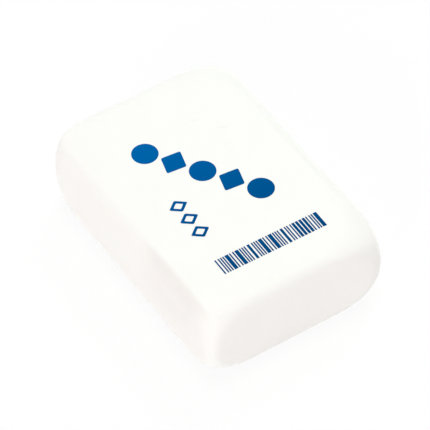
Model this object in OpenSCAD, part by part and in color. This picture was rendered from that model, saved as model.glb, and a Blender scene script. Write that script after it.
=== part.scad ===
// Rubber eraser: one moulded and tumbled block of soft white rubber.
// Its faces are flat in the middle, its edges roll over softly, and its eight vertices are blunter than its
// edges: the corners of the outline open out from half height towards both faces, and the sides bulge a little.
// Tumbling has worn it unevenly: two of the upright corners, opposite each other, have stayed crisp, and the
// top edge has rolled over more on two sides, along the -X end and the +Y side.
// The block stands on its base, with the origin at the middle of it. Length along X, width along Y, Z up.

/* [Block] */
// Length of the block, along X
block_length = 41; // [30:0.5:70]
// Width of the block, along Y
block_width = 28; // [20:0.5:40]
// Thickness of the block, along Z
block_height = 13; // [9:0.5:22]

/* [Rolled edges] */
// Radius of the edge that rolls over into the top face, along the +X end and the -Y side
top_edge = 1.6; // [0.8:0.1:3.5]
// Radius of that edge where it is worn, along the -X end and the +Y side
worn_top_edge = 2.2; // [0.8:0.1:3.5]
// Radius of the edge that rolls under into the base
base_edge = 2.5; // [0.8:0.1:3.5]
// How much farther out the sides stand at half height than at the two faces
side_bulge = 0.5; // [0:0.05:1]

/* [Blunt corners] */
// Size of the upright corners at half height
waist_corner = 3.8; // [2:0.1:6]
// Size of the corners at the top face
top_corner = 8; // [3:0.1:11]
// Size of the corners at the base
base_corner = 9; // [3:0.1:11]
// How squarely a corner turns: 2 is a round arc, and more is squarer
corner_squareness = 2.3; // [2:0.1:4]
// How late the corners open out on the way from half height to a face: 1 is evenly, and more is later
corner_lateness = 2.4; // [1:0.1:4]

/* [Uneven wear] */
// Wear of each corner at half height, as a share of its size: +X +Y, -X +Y, -X -Y, +X -Y
waist_wear = [0.95, 0.5, 1.05, 0.45]; // [0.3:0.05:1.5]
// Wear of each corner at the top face, in the same order
top_wear = [1.2, 1, 0.8, 0.85]; // [0.3:0.05:1.5]
// Wear of each corner at the base, in the same order
base_wear = [1.1, 1, 0.9, 1.05]; // [0.3:0.05:1.5]

/* [Smoothness] */
// Steps round each corner
corner_steps = 16; // [6:2:24]
// Steps over each rolled edge
edge_steps = 8; // [4:1:12]
// Steps up each half of the sides, from a rolled edge to half height
side_steps = 5; // [2:1:8]

/* [Hidden] */
half_height = block_height / 2;
// Shortest straight stretch that is left between two corners of an outline, either side of its middle
least_straight = 0.25;

// Heights of the rings that the block is lofted through: close together where the edges roll over
ring_heights = [
    for (i = [0 : edge_steps]) base_edge * (1 - cos(90 * i / edge_steps)),
    for (i = [1 : side_steps]) base_edge + (half_height - base_edge) * i / side_steps,
    for (i = [1 : side_steps]) half_height + (half_height - top_edge) * i / side_steps,
    for (i = [1 : edge_steps]) block_height - top_edge * (1 - sin(90 * i / edge_steps))
];

// Share of the way from half height to the nearer face, 0 to 1
function reach(z) = abs(z - half_height) / half_height;

// How far a quarter-round edge has drawn in, this far past the start of its roll
function roll(radius, past) = radius - sqrt(max(0, radius ^ 2 - max(0, past) ^ 2));

// How far a side lies inside the block's full length or width at height z, with this edge at the top face
function inset(z, edge_above) =
    roll(base_edge, base_edge - z)
    + roll(edge_above, z - (block_height - edge_above))
    + side_bulge * reach(z) ^ 2;

// Size of one of the outline's four corners at height z, limited by the half width that is left there
function corner_size(z, quarter) =
    let (
        at_waist = waist_corner * waist_wear[quarter],
        at_face = z < half_height ? base_corner * base_wear[quarter] : top_corner * top_wear[quarter]
    )
    min(
        at_waist + (at_face - at_waist) * reach(z) ^ corner_lateness,
        min(block_length, block_width) / 2 - inset(z, max(top_edge, worn_top_edge)) - least_straight
    );

// Distance from a corner's centre to its curve, in the direction of an angle
function corner_reach(size, angle) =
    size / (abs(cos(angle)) ^ corner_squareness + abs(sin(angle)) ^ corner_squareness) ^ (1 / corner_squareness);

// Outline of the block at height z, anticlockwise from the corner at +X and +Y
function ring(z) = [
    for (quarter = [0 : 3])
        let (
            size = corner_size(z, quarter),
            side_x = quarter == 0 || quarter == 3 ? 1 : -1,
            side_y = quarter < 2 ? 1 : -1,
            end_edge = side_x > 0 ? top_edge : worn_top_edge,
            side_edge = side_y < 0 ? top_edge : worn_top_edge,
            centre_x = side_x * (block_length / 2 - inset(z, end_edge) - size),
            centre_y = side_y * (block_width / 2 - inset(z, side_edge) - size)
        )
        for (i = [0 : corner_steps])
            let (
                angle = 90 * (quarter + i / corner_steps),
                out = corner_reach(size, angle)
            )
            [centre_x + out * cos(angle), centre_y + out * sin(angle), z]
];

// Closed skin through a stack of rings that have the same number of points, from the lowest ring up
module loft(rings) {
    count = len(rings[0]);
    last = len(rings) - 1;
    walls = [
        for (k = [0 : last - 1], i = [0 : count - 1])
            let (
                low = k * count + i,
                low_next = k * count + (i + 1) % count
            )
            each [
                [low, low + count, low_next + count],
                [low, low_next + count, low_next]
            ]
    ];
    base = [for (i = [0 : count - 1]) i];
    top = [for (i = [count - 1 : -1 : 0]) last * count + i];
    polyhedron(points = [for (outline = rings, point = outline) point], faces = concat([base, top], walls));
}

module eraser_block() {
    color("white")
        loft([for (z = ring_heights) ring(z)]);
}

eraser_block();
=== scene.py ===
"""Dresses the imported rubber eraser.

It makes the soft white block, the blue print on its top face and a plain pale studio. Everything is in
metres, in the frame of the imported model: X along the block, Y across it and Z up, with the origin in the
middle of the base.
"""

import math

import bmesh
import bpy
from bpy.props import FloatProperty, FloatVectorProperty, IntProperty, PointerProperty
from mathutils import Matrix, Quaternion, Vector


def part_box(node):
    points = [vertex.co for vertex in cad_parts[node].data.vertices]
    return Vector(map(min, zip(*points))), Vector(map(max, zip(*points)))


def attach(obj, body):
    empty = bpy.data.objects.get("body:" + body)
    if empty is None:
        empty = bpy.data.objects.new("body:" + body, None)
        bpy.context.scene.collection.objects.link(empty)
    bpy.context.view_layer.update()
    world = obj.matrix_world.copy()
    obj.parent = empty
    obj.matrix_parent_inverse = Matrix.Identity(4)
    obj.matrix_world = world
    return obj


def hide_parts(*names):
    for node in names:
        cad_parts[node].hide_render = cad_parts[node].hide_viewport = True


bl_info = {
    "name": "Rubber Eraser",
    "version": (1, 0, 0),
    "blender": (4, 5, 0),
    "location": "View3D > Sidebar > Eraser",
    "description": "Builds a white block eraser with a blue print and sets it in a pale studio",
    "category": "Object",
}

MM = 0.001
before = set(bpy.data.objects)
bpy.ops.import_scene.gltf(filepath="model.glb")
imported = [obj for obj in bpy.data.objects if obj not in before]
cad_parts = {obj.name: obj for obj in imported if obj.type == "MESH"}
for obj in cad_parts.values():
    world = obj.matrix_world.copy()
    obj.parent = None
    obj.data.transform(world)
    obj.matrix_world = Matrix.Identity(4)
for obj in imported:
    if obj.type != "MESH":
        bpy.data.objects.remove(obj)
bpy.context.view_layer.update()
BODY = "root"
BLOCK_NODE = "eraser_block"
BLOCK_LOW, BLOCK_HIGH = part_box(BLOCK_NODE)
BLOCK_SIZE = BLOCK_HIGH - BLOCK_LOW
BLOCK_CENTRE = (BLOCK_LOW + BLOCK_HIGH) / 2

# Place of each corner in a list of wear, from whether it lies at +X and whether it lies at +Y
CORNER_ORDER = {(True, True): 0, (False, True): 1, (False, False): 2, (True, False): 3}
# How often the stretch that holds a point of the block's surface is halved
HALVINGS = 20

# Share of the ink film that lies below the top face
SUNK_SHARE = 0.25
# Width of a bold diamond, radius of a bold disc and width of a small outline, as shares of their height
BOLD_WIDTH = 0.86
DISC_RADIUS = 0.42
SMALL_WIDTH = 0.8
# How far from a diamond's points their rounding starts
BOLD_ROUNDING = 0.25 * MM
SMALL_ROUNDING = 0.2 * MM
# Steps round a disc, and round the point of a diamond
DISC_STEPS = 64
POINT_STEPS = 4

# Widths of the bars and of the gaps between them, against one another
THIN_BAR = 1.3
MIDDLE_BAR = 2.5
BROAD_BAR = 3.5
NARROW_GAP = 1.0
WIDE_GAP = 1.8
# Heights of a wave, -1 to 1, from which a gap is wide, a bar is middling and a bar is broad
WIDE_GAP_FROM = 0.6
MIDDLE_BAR_FROM = 0.1
BROAD_BAR_FROM = 0.8

# Noise of the faint clouds, of the more and less matt places and of the fine grain, in features a metre
CLOUDS = {"scale": 140, "detail": 3, "roughness": 0.55}
MATT_PLACES = {"scale": 900, "detail": 3}
GRAIN = {"scale": 3200, "detail": 2, "roughness": 0.6}
# Range of the noise over which the clouds come up, and over which the roughness rises
CLOUD_RANGE = (0.42, 0.72)
MATT_RANGE = (0.3, 0.7)
# How far the roughness falls below its middle value and rises above it
LESS_MATT = 0.05
MORE_MATT = 0.06
# How far red, green and blue light sink into the rubber, against one another
SINK_BY_COLOUR = (1.0, 0.9, 0.8)
# Share of the way in from the rim of a soft place at which it reaches its full strength
FULL_AT = 0.55
# Middle of each scuff on the top face and half its length, and half the width of them all
SCUFFS = (
    (-10.6 * MM, 3.6 * MM, 0.7 * MM),
    (-7.4 * MM, 6.1 * MM, 0.9 * MM),
    (-4.7 * MM, 4.6 * MM, 0.4 * MM),
)
SCUFF_HALF_WIDTH = 0.28 * MM
# Numbers of the sockets of a Mix node that take and give colours
FIRST_COLOUR = 6
SECOND_COLOUR = 7
MIXED_COLOUR = 2

# Way round the block from its long side, and height above the floor, in degrees
LAMPS = {"front": (34, 21), "left": (-90, 8), "rear": (180, 8), "back": (214, 50), "top": (0, 90)}
# Height, in degrees, above which a lamp has the tint of the high ones
HIGH_LAMP = 45
# Width of the camera's sensor in millimetres, and the nearest and the farthest that it sees
SENSOR_WIDTH = 36
NEAREST = 10 * MM
FARTHEST = 10
FLOOR_RADIUS = 3.0
FLOOR_STEPS = 96
FLOOR_COLOUR = (0.97, 0.97, 0.97, 1)
WHITE = (1, 1, 1, 1)


def length(name, description, default, **limits):
    """A size in metres, given in millimetres, that a user can change in the panel."""
    return FloatProperty(
        name=name,
        description=description,
        default=default * MM,
        unit="LENGTH",
        precision=5,
        **limits,
    )


def place(name, description, default):
    """A point, or a size along each axis, given in millimetres."""
    return FloatVectorProperty(
        name=name,
        description=description,
        default=[value * MM for value in default],
        size=len(default),
        unit="LENGTH",
        precision=5,
    )


def share(name, description, default):
    """A number from 0 to 1 that a user can change in the panel."""
    return FloatProperty(
        name=name,
        description=description,
        default=default,
        min=0.0,
        max=1.0,
        subtype="FACTOR",
    )


def colour(name, description, default):
    """A colour that a user can change in the panel."""
    return FloatVectorProperty(
        name=name,
        description=description,
        default=default,
        size=3,
        min=0.0,
        max=1.0,
        subtype="COLOR",
    )


def turn(name, description, default):
    """An angle, given in degrees, that a user can change in the panel."""
    return FloatProperty(
        name=name,
        description=description,
        default=math.radians(default),
        subtype="ANGLE",
    )


def power(name, description, default):
    """The power of a lamp, in watts, that a user can change in the panel."""
    return FloatProperty(name=name, description=description, default=default, min=0, subtype="POWER")


def wear(name, description, default):
    """Four shares, one for each corner, anticlockwise from the one at +X and +Y."""
    return FloatVectorProperty(
        name=name,
        description=description,
        default=default,
        size=4,
        min=0.3,
        max=1.5,
    )


class BlockForm(bpy.types.PropertyGroup):
    """Form of the moulded block. Its length, width and height come from the frame."""

    top_edge: length("Top edge", "Radius of the edge that rolls over into the top face", 1.6)
    worn_top_edge: length("Worn top edge", "Radius of that edge along the -X end and the +Y side", 2.2)
    base_edge: length("Base edge", "Radius of the edge that rolls under into the base", 2.5)
    side_bulge: length("Side bulge", "How much farther out the sides stand at half height", 0.5)
    waist_corner: length("Waist corner", "Size of the upright corners at half height", 3.8)
    top_corner: length("Top corner", "Size of the corners at the top face", 8.0)
    base_corner: length("Base corner", "Size of the corners at the base", 9.0)
    squareness: FloatProperty(
        name="Squareness",
        description="2 is a round corner, and more is squarer",
        default=2.3,
        min=2,
        max=4,
    )
    lateness: FloatProperty(
        name="Lateness",
        description="How late the corners open out towards a face",
        default=2.4,
        min=1,
        max=4,
    )
    waist_wear: wear(
        "Waist wear",
        "Wear of each corner at half height, as a share of its size",
        (0.95, 0.5, 1.05, 0.45),
    )
    top_wear: wear(
        "Top wear",
        "Wear of each corner at the top face, as a share of its size",
        (1.2, 1, 0.8, 0.85),
    )
    base_wear: wear(
        "Base wear",
        "Wear of each corner at the base, as a share of its size",
        (1.1, 1, 0.9, 1.05),
    )
    cell: length("Cell", "Width of one cell of the mesh", 0.5, min=0.2 * MM)


class RubberFinish(bpy.types.PropertyGroup):
    """Finish of the white rubber, with two places of painted shade on its long side."""

    rubber: colour("Rubber", "Colour of the clean rubber", (0.958, 0.957, 0.921))
    cloudy: colour("Cloudy", "Colour of the faint clouds in the rubber", (0.952, 0.950, 0.913))
    # Painted shade: a darker oval place on the long side by the near corner, standing in for the shading
    # there
    painted_side_shade: colour(
        "Handled",
        "Colour of the faintly soiled place by the near corner",
        (0.912, 0.899, 0.868),
    )
    painted_side_shade_place: place(
        "Handled place",
        "Middle of the faintly soiled place, on the long side",
        (11.5, -14, 10.8),
    )
    painted_side_shade_size: place(
        "Handled size",
        "Half length, depth and half height of the faintly soiled place",
        (9.8, 20, 7.2),
    )
    painted_side_shade_turn: turn("Handled turn", "Slope of the faintly soiled place", -29)
    # Painted shade: a darker band just under the ridge in that place, standing in for the crisper shading
    # of the edge there
    painted_ridge_shade: colour(
        "Rubbed",
        "Colour of the rubbed band under the ridge, in the soiled place",
        (0.878, 0.862, 0.832),
    )
    painted_ridge_shade_place: place("Rubbed place", "Middle of the rubbed band", (11.8, -14, 13))
    painted_ridge_shade_size: place(
        "Rubbed size",
        "Half length, depth and half height of the rubbed band",
        (9.6, 20, 3.2),
    )
    # The two places of painted shade fade out over these distances in from the long side
    fade_start: length(
        "Fade start",
        "How far in from the long side both soiled places start to fade",
        0.8,
    )
    fade_end: length(
        "Fade end",
        "How far in from the long side both soiled places have faded out",
        1.45,
    )
    scuff: colour("Scuff", "Colour of the three tiny scuffs on the top face", (0.922, 0.922, 0.883))
    scuff_turn: turn("Scuff turn", "Turn of the scuffs away from the block's length", 50)
    roughness: share("Roughness", "How matt the rubber is", 0.56)
    softness: share("Softness", "How much light sinks into the rubber", 0.12)
    sink_depth: length("Sink depth", "How far the light spreads inside the rubber", 0.4)
    grain_depth: length("Grain depth", "Depth of the fine moulded grain", 0.012)


class PrintForm(bpy.types.PropertyGroup):
    """Places and sizes of the print. Places are measured from the middle of the top face."""

    film: length("Film", "Thickness of the ink film", 0.02)
    row_centre: place("Row centre", "Middle of the row of bold motifs", (-2.26, -0.38))
    row_turn: turn("Row turn", "Turn of the row away from the block's length", 34.5)
    row_pitch: length("Row pitch", "Distance from one bold motif to the next", 4.15)
    row_count: IntProperty(name="Row count", description="Number of bold motifs", default=5, min=1)
    motif_height: length("Motif height", "Height of the bold motifs", 4.35)
    small_centre: place("Small centre", "Middle of the row of small outlines", (3.9, -6.42))
    small_pitch: length("Small pitch", "Distance from one small outline to the next", 2.64)
    small_count: IntProperty(
        name="Small count",
        description="Number of small outlines",
        default=3,
        min=1,
    )
    small_height: length("Small height", "Height of the small outlines", 2.8)
    small_stroke: length("Small stroke", "Width of the line of the small outlines", 0.4)
    bars_centre: place("Bars centre", "Middle of the strip of bars", (13.28, 0.1))
    bars_turn: turn("Bars turn", "Turn of the strip away from the block's width", -0.9)
    bars_length: length("Bars length", "Length of the strip of bars, across the block", 15.6)
    bars_depth: length("Bars depth", "Length of each bar, along the block", 2.7)
    bar_count: IntProperty(name="Bar count", description="Number of bars", default=34, min=2)


class InkFinish(bpy.types.PropertyGroup):
    """Finish of the blue ink."""

    # Painted light and shade: the ink is lighter at the -X end and darker at the +X end, standing in for
    # light that falls off along the block
    painted_lit_ink: colour(
        "Thin ink",
        "Colour at the -X end, where the film is thinnest",
        (0.0, 0.132, 0.425),
    )
    painted_shaded_ink: colour(
        "Full ink",
        "Colour at the +X end, where the film is fullest",
        (0.0, 0.064, 0.21),
    )
    # Distance either side of the middle over which the ink's painted shade changes
    reach: length("Reach", "Distance either side of the middle over which the film changes", 14)
    roughness: share("Roughness", "How matt the ink is", 0.6)
    grain_depth: length("Grain depth", "Depth of the rubber's grain where the ink covers it", 0.008)


class StudioForm(bpy.types.PropertyGroup):
    """Camera, floor and light."""

    view_turn: turn("View turn", "Way round the block to the camera, from its long side", 58.32)
    view_rise: turn("View rise", "Height of the camera above the horizon", 48.04)
    view_tilt: turn("View tilt", "Tilt of the camera about its own line of sight", -1.62)
    view_distance: length("View distance", "Distance from the camera to the block", 458)
    aim: place("Aim", "Point that the camera points at", (-0.026, -0.043, 6.165))
    lens: FloatProperty(
        name="Lens",
        description="Focal length in millimetres",
        default=288.6,
        min=1,
    )
    sky: colour("Sky", "Colour of the light from all round", (1.0, 0.89, 0.91))
    sky_strength: FloatProperty(
        name="Sky strength",
        description="Light from all round",
        default=0.574,
        min=0,
    )
    front_power: power("Front power", "Power of the lamp in front", 1.43)
    left_power: power("Left power", "Power of the low lamp at the -X end", 0.43)
    rear_power: power("Rear power", "Power of the low lamp behind", 0.45)
    back_power: power("Back power", "Power of the high lamp behind", 1.09)
    top_power: power("Top power", "Power of the lamp overhead", 1.07)
    lamp_size: length("Lamp size", "Width of each square lamp", 200)
    lamp_distance: length("Lamp distance", "Distance from each lamp to the block", 700)
    low_tint: colour("Low tint", "Colour of the low lamps", (0.985, 1.0, 1.0))
    high_tint: colour("High tint", "Colour of the high lamps", (0.83, 1.0, 0.945))
    floor_gap: length("Floor gap", "Hair's breadth between the base and the floor", 0.02)
    floor_glow: share(
        "Floor glow",
        "How white the floor round the block is to the camera, apart from the shadow",
        0.88,
    )
    shadow_near: length(
        "Shadow near",
        "Distance from the block's middle at which the shadow starts to fade",
        60,
    )
    shadow_far: length(
        "Shadow far",
        "Distance from the block's middle beyond which the floor is all white",
        140,
    )


def new_piece(name, shape):
    """Makes an object of a finished bmesh, with smooth faces, in the scene."""
    mesh = bpy.data.meshes.new(name)
    for face in shape.faces:
        face.smooth = True
    shape.to_mesh(mesh)
    shape.free()
    piece = bpy.data.objects.new(name, mesh)
    bpy.context.scene.collection.objects.link(piece)
    return piece


def slice_at(shape, spot, normal):
    """Cuts a whole bmesh along the plane through a spot."""
    whole = shape.verts[:] + shape.edges[:] + shape.faces[:]
    bmesh.ops.bisect_plane(shape, geom=whole, plane_co=spot, plane_no=normal)


def clamp(value, low, high):
    """The value, kept between low and high."""
    return max(low, min(high, value))


def rolled_in(radius, past):
    """How far a quarter-round edge has drawn in, this far past the start of its roll."""
    return radius - math.sqrt(radius**2 - clamp(past, 0, radius) ** 2)


def edge_radius(form, z, worn):
    """Radius of the rolled edge above or below the middle, on a worn side or another one."""
    if z < 0:
        return form.base_edge
    return form.worn_top_edge if worn else form.top_edge


def corner_size(form, quarter, z, reach):
    """Size of one of the four corners, this share of the way from half height to a face."""
    at_waist = form.waist_corner * form.waist_wear[quarter]
    if z > 0:
        at_face = form.top_corner * form.top_wear[quarter]
    else:
        at_face = form.base_corner * form.base_wear[quarter]
    return at_waist + (at_face - at_waist) * reach**form.lateness


def inside_block(form, x, y, z):
    """True where a point, measured from the block's middle, lies inside the block's form."""
    half = BLOCK_SIZE / 2
    if abs(z) > half.z:
        return False
    reach = abs(z) / half.z
    corner = corner_size(form, CORNER_ORDER[x > 0, y > 0], z, reach)
    end_edge = edge_radius(form, z, worn=x < 0)
    side_edge = edge_radius(form, z, worn=y > 0)
    lean = form.side_bulge * reach**2
    end = half.x - rolled_in(end_edge, abs(z) - half.z + end_edge) - lean
    side = half.y - rolled_in(side_edge, abs(z) - half.z + side_edge) - lean
    out_x = (abs(x) - end + corner) / corner
    out_y = (abs(y) - side + corner) / corner
    if out_x <= 0 or out_y <= 0:
        return max(out_x, out_y) <= 1
    return out_x**form.squareness + out_y**form.squareness <= 1


def drawn_onto_form(form, spot):
    """The point of the block's surface that a point of its box is drawn to, towards the block's core."""
    half = BLOCK_SIZE / 2
    shell = Vector((form.top_corner, form.top_corner, form.base_edge + form.side_bulge))
    core = half - shell
    hub = Vector([clamp(spot[axis], -core[axis], core[axis]) for axis in range(3)])
    near, far = 0.0, 1.0
    for _ in range(HALVINGS):
        middle = (near + far) / 2
        if inside_block(form, *hub.lerp(spot, middle)):
            near = middle
        else:
            far = middle
    return hub.lerp(spot, near)


def cut_evenly(block, axis, cell):
    """Cuts the block's box into even slices across one axis."""
    count = round(BLOCK_SIZE[axis] / cell)
    normal = Vector([float(axis == other) for other in range(3)])
    for step in range(1, count):
        slice_at(block, normal * (BLOCK_SIZE[axis] * (step / count - 0.5)), normal)


class ERASER_OT_block(bpy.types.Operator):
    """Make the soft white block, which stands for the plain solid of the frame"""

    bl_idname = "eraser.block"
    bl_label = "Rubber block"

    def execute(self, context):
        form = context.scene.eraser_block
        block = bmesh.new()
        bmesh.ops.create_cube(block, size=1)
        bmesh.ops.scale(block, vec=BLOCK_SIZE, verts=block.verts)
        for axis in range(3):
            cut_evenly(block, axis, form.cell)
        for vert in block.verts:
            vert.co = drawn_onto_form(form, vert.co)
        bmesh.ops.translate(block, vec=BLOCK_CENTRE, verts=block.verts)
        bmesh.ops.recalc_face_normals(block, faces=block.faces)
        piece = new_piece("rubber_block", block)
        piece.data.materials.append(rubber_material(context.scene.eraser_rubber))
        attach(piece, BODY)
        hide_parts(BLOCK_NODE)
        return {"FINISHED"}


def raise_film(ink, film):
    """Gives flat ink shapes the thickness of the film and seats them on the top face."""
    raised = bmesh.ops.extrude_face_region(ink, geom=ink.faces[:])
    verts = [item for item in raised["geom"] if isinstance(item, bmesh.types.BMVert)]
    bmesh.ops.translate(ink, vec=(0, 0, film), verts=verts)
    bmesh.ops.recalc_face_normals(ink, faces=ink.faces)
    bmesh.ops.translate(ink, vec=(0, 0, BLOCK_HIGH.z - film * SUNK_SHARE), verts=ink.verts)


def new_print(context, name, ink):
    """Makes an object of flat ink shapes, with the film's thickness, and lets it ride with the block."""
    raise_film(ink, context.scene.eraser_print.film)
    piece = new_piece(name, ink)
    for face in piece.data.polygons:
        face.use_smooth = False
    piece.data.materials.append(ink_material(context.scene.eraser_ink))
    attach(piece, BODY)


def in_row(centre, angle, along=0.0):
    """Matrix that puts a flat shape at this distance along a turned row."""
    middle = Matrix.Translation((*centre, 0))
    return middle @ Matrix.Rotation(angle, 4, "Z") @ Matrix.Translation((along, 0, 0))


def even_steps(count, pitch):
    """Distances from the middle of a row at which its motifs stand."""
    return [(index - (count - 1) / 2) * pitch for index in range(count)]


def disc(ink, radius, matrix):
    """Adds a round flat shape."""
    bmesh.ops.create_circle(ink, cap_ends=True, segments=DISC_STEPS, radius=radius, matrix=matrix)


def diamond(ink, width, height, rounding, matrix):
    """Adds a flat diamond with slightly rounded points."""
    stretch = Matrix.Diagonal((width, height, 1, 1))
    made = bmesh.ops.create_circle(ink, cap_ends=True, segments=4, radius=0.5, matrix=stretch)
    rounded = bmesh.ops.bevel(
        ink,
        geom=made["verts"],
        offset=rounding,
        segments=POINT_STEPS,
        profile=0.5,
        affect="VERTICES",
        material=-1,
    )
    verts = {vert for face in rounded["faces"] for vert in face.verts}
    bmesh.ops.transform(ink, matrix=matrix, verts=list(verts.union(rounded["verts"])))


def open_diamonds(ink, width, height, stroke):
    """Leaves only a line round each diamond of this size, by a smaller diamond cut from its middle."""
    bmesh.ops.inset_individual(ink, faces=ink.faces[:], thickness=0)
    # The new faces have four points each, and a diamond with rounded points has more
    holes = [face for face in ink.faces if len(face.verts) > 4]
    middle_to_side = width * height / math.hypot(width, height) / 2
    for hole in holes:
        centre = hole.calc_center_bounds()
        for vert in hole.verts:
            vert.co = centre.lerp(vert.co, 1 - stroke / middle_to_side)
    bmesh.ops.delete(ink, geom=holes, context="FACES")


class ERASER_OT_print_row(bpy.types.Operator):
    """Print the turned row of bold discs and diamonds"""

    bl_idname = "eraser.print_row"
    bl_label = "Bold row"

    def execute(self, context):
        form = context.scene.eraser_print
        height = form.motif_height
        ink = bmesh.new()
        for index, along in enumerate(even_steps(form.row_count, form.row_pitch)):
            matrix = in_row(form.row_centre, form.row_turn, along)
            if index % 2:
                diamond(ink, height * BOLD_WIDTH, height, BOLD_ROUNDING, matrix)
            else:
                disc(ink, height * DISC_RADIUS, matrix)
        new_print(context, "bold_row_print", ink)
        return {"FINISHED"}


class ERASER_OT_print_outlines(bpy.types.Operator):
    """Print the short row of small diamond outlines"""

    bl_idname = "eraser.print_outlines"
    bl_label = "Small outlines"

    def execute(self, context):
        form = context.scene.eraser_print
        height = form.small_height
        width = height * SMALL_WIDTH
        ink = bmesh.new()
        for along in even_steps(form.small_count, form.small_pitch):
            diamond(ink, width, height, SMALL_ROUNDING, in_row(form.small_centre, 0, along))
        open_diamonds(ink, width, height, form.small_stroke)
        new_print(context, "small_outline_print", ink)
        return {"FINISHED"}


def bar_widths(count):
    """Widths of this many bars and of the gaps between them, in turn, by a plain rule that says nothing."""
    widths = []
    for step in range(2 * count - 1):
        height = math.sin(step * step)
        if step % 2:
            widths.append(NARROW_GAP if height < WIDE_GAP_FROM else WIDE_GAP)
        elif height < BROAD_BAR_FROM:
            widths.append(THIN_BAR if height < MIDDLE_BAR_FROM else MIDDLE_BAR)
        else:
            widths.append(BROAD_BAR)
    return widths


class ERASER_OT_print_bars(bpy.types.Operator):
    """Print the strip of plain bars of changing width"""

    bl_idname = "eraser.print_bars"
    bl_label = "Strip of bars"

    def execute(self, context):
        form = context.scene.eraser_print
        widths = bar_widths(form.bar_count)
        unit = form.bars_length / sum(widths)
        stretch = Matrix.Diagonal((form.bars_depth, form.bars_length, 1, 1))
        strip = bmesh.new()
        bmesh.ops.create_grid(strip, x_segments=1, y_segments=1, size=0.5, matrix=stretch)
        for step in range(1, len(widths)):
            edge = unit * sum(widths[:step]) - form.bars_length / 2
            slice_at(strip, (0, edge, 0), (0, 1, 0))
        cells = sorted(strip.faces, key=lambda face: face.calc_center_median().y)
        bmesh.ops.delete(strip, geom=cells[1::2], context="FACES")
        matrix = in_row(form.bars_centre, form.bars_turn)
        bmesh.ops.transform(strip, matrix=matrix, verts=strip.verts)
        new_print(context, "bar_print", strip)
        return {"FINISHED"}


class MaterialBuilder:
    """A node material with its shader, and short ways to add and join nodes."""

    def __init__(self, name):
        self.material = bpy.data.materials.new(name)
        self.material.use_nodes = True
        self.nodes = self.material.node_tree.nodes
        self.links = self.material.node_tree.links
        self.shader = self.nodes["Principled BSDF"]
        self.coordinates = self.nodes.new("ShaderNodeTexCoord").outputs["Object"]

    def set(self, **values):
        """Sets plain values on the shader's own sockets, named with _ for each space."""
        for name, value in values.items():
            self.shader.inputs[name.replace("_", " ")].default_value = value

    def join(self, output, name):
        """Joins an output to one of the shader's sockets."""
        self.links.new(output, self.shader.inputs[name])

    def noise(self, scale, detail=2.0, roughness=0.5):
        """Noise of this many features a metre, on object coordinates."""
        node = self.nodes.new("ShaderNodeTexNoise")
        node.inputs["Scale"].default_value = scale
        node.inputs["Detail"].default_value = detail
        node.inputs["Roughness"].default_value = roughness
        self.links.new(self.coordinates, node.inputs["Vector"])
        return node.outputs["Fac"]

    def spot(self, centre, turned, size):
        """1 in the middle of a turned oval place and 0 outside it, on object coordinates."""
        mapping = self.nodes.new("ShaderNodeMapping")
        mapping.vector_type = "TEXTURE"
        mapping.inputs["Location"].default_value = centre
        mapping.inputs["Rotation"].default_value = turned
        mapping.inputs["Scale"].default_value = size
        self.links.new(self.coordinates, mapping.inputs["Vector"])
        fall = self.nodes.new("ShaderNodeTexGradient")
        fall.gradient_type = "SPHERICAL"
        self.links.new(mapping.outputs["Vector"], fall.inputs["Vector"])
        return self.spread(fall.outputs["Fac"], 0.0, FULL_AT)

    def along(self, axis):
        """The X, Y or Z of object coordinates."""
        node = self.nodes.new("ShaderNodeSeparateXYZ")
        self.links.new(self.coordinates, node.inputs[0])
        return node.outputs[axis]

    def times(self, first, second):
        """Multiplies two values."""
        node = self.nodes.new("ShaderNodeMath")
        node.operation = "MULTIPLY"
        self.links.new(first, node.inputs[0])
        self.links.new(second, node.inputs[1])
        return node.outputs[0]

    def spread(self, value, low, high, to_low=0.0, to_high=1.0):
        """Maps a value from one range to another."""
        node = self.nodes.new("ShaderNodeMapRange")
        self.links.new(value, node.inputs["Value"])
        limits = {"From Min": low, "From Max": high, "To Min": to_low, "To Max": to_high}
        for name, number in limits.items():
            node.inputs[name].default_value = number
        return node.outputs["Result"]

    def blend(self, factor, first, second):
        """Mixes two colours by a factor. Each is a plain colour or an output."""
        node = self.nodes.new("ShaderNodeMix")
        node.data_type = "RGBA"
        self.links.new(factor, node.inputs["Factor"])
        for number, value in ((FIRST_COLOUR, first), (SECOND_COLOUR, second)):
            if isinstance(value, bpy.types.NodeSocket):
                self.links.new(value, node.inputs[number])
            else:
                node.inputs[number].default_value = (*value, 1)
        return node.outputs[MIXED_COLOUR]

    def bump(self, height, distance):
        """Raises a height on the surface by up to this distance."""
        node = self.nodes.new("ShaderNodeBump")
        node.inputs["Distance"].default_value = distance
        self.links.new(height, node.inputs["Height"])
        self.join(node.outputs["Normal"], "Normal")


def rubber_colour(builder, finish):
    """Clean rubber with faint clouds, two places of painted shade on the long side and three scuffs."""
    clouds = builder.spread(builder.noise(**CLOUDS), *CLOUD_RANGE)
    shade = builder.blend(clouds, finish.rubber, finish.cloudy)
    # Painted shade: the darker oval place on the long side by the near corner
    painted_shade_spot = builder.spot(finish.painted_side_shade_place, (0, finish.painted_side_shade_turn, 0), finish.painted_side_shade_size)
    # Painted shade: the darker band just under the ridge in that place
    painted_ridge_shade = builder.spot(finish.painted_ridge_shade_place, (0, 0, 0), finish.painted_ridge_shade_size)
    faded_out = BLOCK_LOW.y + finish.fade_end
    on_side = builder.spread(builder.along("Y"), faded_out, BLOCK_LOW.y + finish.fade_start)
    # Blends both places of painted shade into the rubber's colour, only on the long side
    shade = builder.blend(builder.times(painted_shade_spot, on_side), shade, finish.painted_side_shade)
    shade = builder.blend(builder.times(painted_ridge_shade, on_side), shade, finish.painted_ridge_shade)
    for x, y, half_length in SCUFFS:
        size = (half_length, SCUFF_HALF_WIDTH, SCUFF_HALF_WIDTH)
        scuff = builder.spot((x, y, BLOCK_HIGH.z), (0, 0, finish.scuff_turn), size)
        shade = builder.blend(scuff, shade, finish.scuff)
    return shade


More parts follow.
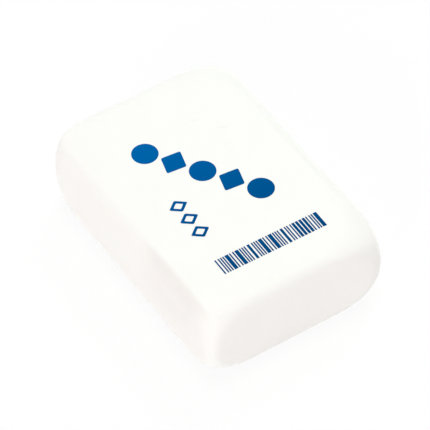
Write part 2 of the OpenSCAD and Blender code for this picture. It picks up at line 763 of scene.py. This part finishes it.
def rubber_material(finish):
    """Soft matt white rubber with a fine moulded grain, into which light sinks a little."""
    builder = MaterialBuilder("white_rubber")
    builder.join(rubber_colour(builder, finish), "Base Color")
    least = finish.roughness - LESS_MATT
    most = finish.roughness + MORE_MATT
    matt = builder.spread(builder.noise(**MATT_PLACES), *MATT_RANGE, least, most)
    builder.join(matt, "Roughness")
    builder.bump(builder.noise(**GRAIN), finish.grain_depth)
    builder.set(
        Subsurface_Weight=finish.softness,
        Subsurface_Radius=SINK_BY_COLOUR,
        Subsurface_Scale=finish.sink_depth,
        IOR=1.48,
        Specular_IOR_Level=0.4,
    )
    return builder.material


def ink_material(finish):
    """Dead matt blue ink, darkened towards the +X end by painted shade, that follows the grain of the
    rubber.
    """
    builder = MaterialBuilder("blue_ink")
    # Painted shade: the ink darkens from the -X end to the +X end
    painted_ink_shade = builder.spread(builder.along("X"), -finish.reach, finish.reach)
    builder.join(builder.blend(painted_ink_shade, finish.painted_lit_ink, finish.painted_shaded_ink), "Base Color")
    builder.bump(builder.noise(**GRAIN), finish.grain_depth)
    builder.set(Roughness=finish.roughness, Specular_IOR_Level=0.0)
    return builder.material


def away(turned, raised):
    """Unit vector from the block to a point this far round it and this high above the horizon."""
    level = math.cos(raised)
    return Vector((math.sin(turned) * level, -math.cos(turned) * level, math.sin(raised)))


def add_camera(studio):
    """Puts the camera where the photograph was taken from."""
    data = bpy.data.cameras.new("camera")
    data.lens = studio.lens
    data.sensor_width = SENSOR_WIDTH
    data.clip_start = NEAREST
    data.clip_end = FARTHEST
    camera = bpy.data.objects.new("camera", data)
    line = away(studio.view_turn, studio.view_rise)
    tilt = Quaternion((0, 0, 1), studio.view_tilt)
    camera.location = Vector(studio.aim) + line * studio.view_distance
    camera.rotation_mode = "QUATERNION"
    camera.rotation_quaternion = (-line).to_track_quat("-Z", "Y") @ tilt
    bpy.context.scene.collection.objects.link(camera)
    bpy.context.scene.camera = camera


def add_lamp(studio, name):
    """Adds one of the square soft lamps and points it at the block."""
    turned, raised = LAMPS[name]
    data = bpy.data.lights.new(f"{name}_lamp", "AREA")
    data.shape = "SQUARE"
    data.size = studio.lamp_size
    data.energy = getattr(studio, f"{name}_power")
    data.color = studio.high_tint if raised > HIGH_LAMP else studio.low_tint
    lamp = bpy.data.objects.new(data.name, data)
    line = away(math.radians(turned), math.radians(raised))
    lamp.location = BLOCK_CENTRE + line * studio.lamp_distance
    lamp.rotation_mode = "QUATERNION"
    lamp.rotation_quaternion = (-line).to_track_quat("-Z", "Y")
    bpy.context.scene.collection.objects.link(lamp)


def seen_ray(nodes, links):
    """1 for rays of the camera, of reflections and through clear bodies, and 0 for the light's own."""
    path = nodes.new("ShaderNodeLightPath")
    total = path.outputs["Is Camera Ray"]
    for name in ("Is Glossy Ray", "Is Transmission Ray"):
        larger = nodes.new("ShaderNodeMath")
        larger.operation = "MAXIMUM"
        links.new(total, larger.inputs[0])
        links.new(path.outputs[name], larger.inputs[1])
        total = larger.outputs[0]
    return total


def mix_shaders(tree, factor, first, second, output):
    """Mixes two shaders by a factor and joins them to the tree's output node."""
    mix = tree.nodes.new("ShaderNodeMixShader")
    for socket, source in zip(mix.inputs, (factor, first.outputs[0], second.outputs[0])):
        tree.links.new(source, socket)
    tree.links.new(mix.outputs[0], tree.nodes[output].inputs["Surface"])


def floor_material(studio):
    """Pale floor that looks white to the camera and keeps a part of the block's shadow."""
    builder = MaterialBuilder("pale_floor")
    nodes, links = builder.nodes, builder.links
    builder.set(Base_Color=FLOOR_COLOUR, Roughness=0.9, Specular_IOR_Level=0.1)
    distance = nodes.new("ShaderNodeVectorMath")
    distance.operation = "LENGTH"
    links.new(builder.coordinates, distance.inputs[0])
    reach = distance.outputs["Value"]
    glow = builder.spread(reach, studio.shadow_near, studio.shadow_far, studio.floor_glow, 1.0)
    seen = builder.times(seen_ray(nodes, links), glow)
    white = nodes.new("ShaderNodeEmission")
    mix_shaders(builder.material.node_tree, seen, builder.shader, white, "Material Output")
    return builder.material


def add_floor(studio):
    """Lays a wide round floor under the block."""
    ground = bmesh.new()
    bmesh.ops.create_circle(ground, cap_ends=True, segments=FLOOR_STEPS, radius=FLOOR_RADIUS)
    level = BLOCK_LOW.z - studio.floor_gap
    bmesh.ops.translate(ground, vec=(0, 0, level), verts=ground.verts)
    floor = new_piece("floor", ground)
    floor.data.materials.append(floor_material(studio))


def set_world(studio):
    """White to the camera, and an even soft light for everything else."""
    world = bpy.data.worlds.new("pale_room")
    world.use_nodes = True
    bpy.context.scene.world = world
    tree = world.node_tree
    light = tree.nodes["Background"]
    light.inputs["Color"].default_value = (*studio.sky, 1)
    light.inputs["Strength"].default_value = studio.sky_strength
    white = tree.nodes.new("ShaderNodeBackground")
    white.inputs["Color"].default_value = WHITE
    mix_shaders(tree, seen_ray(tree.nodes, tree.links), light, white, "World Output")


class ERASER_OT_studio(bpy.types.Operator):
    """Lay the pale floor, set the soft lamps and place the camera"""

    bl_idname = "eraser.studio"
    bl_label = "Studio"

    def execute(self, context):
        studio = context.scene.eraser_studio
        context.scene.view_settings.view_transform = "Standard"
        add_floor(studio)
        set_world(studio)
        for name in LAMPS:
            add_lamp(studio, name)
        add_camera(studio)
        return {"FINISHED"}


class ERASER_PT_panel(bpy.types.Panel):
    """Lists the eraser's pieces and their sizes"""

    bl_label = "Rubber Eraser"
    bl_space_type = "VIEW_3D"
    bl_region_type = "UI"
    bl_category = "Eraser"

    def draw(self, context):
        for operator in OPERATORS:
            self.layout.operator(operator.bl_idname)
        for name, group in SETTINGS.items():
            box = self.layout.box()
            box.label(text=group.__name__)
            for prop in group.__annotations__:
                box.prop(getattr(context.scene, name), prop)


OPERATORS = (
    ERASER_OT_block,
    ERASER_OT_print_row,
    ERASER_OT_print_outlines,
    ERASER_OT_print_bars,
    ERASER_OT_studio,
)
SETTINGS = {
    "eraser_block": BlockForm,
    "eraser_rubber": RubberFinish,
    "eraser_print": PrintForm,
    "eraser_ink": InkFinish,
    "eraser_studio": StudioForm,
}


def register():
    for group in SETTINGS.values():
        bpy.utils.register_class(group)
    for name, group in SETTINGS.items():
        setattr(bpy.types.Scene, name, PointerProperty(type=group))
    for item in (*OPERATORS, ERASER_PT_panel):
        bpy.utils.register_class(item)


def unregister():
    for item in (ERASER_PT_panel, *reversed(OPERATORS)):
        bpy.utils.unregister_class(item)
    for name in SETTINGS:
        delattr(bpy.types.Scene, name)
    for group in SETTINGS.values():
        bpy.utils.unregister_class(group)


def main():
    register()
    bpy.ops.eraser.block()
    bpy.ops.eraser.print_row()
    bpy.ops.eraser.print_outlines()
    bpy.ops.eraser.print_bars()
    bpy.ops.eraser.studio()


if __name__ == "__main__":
    main()
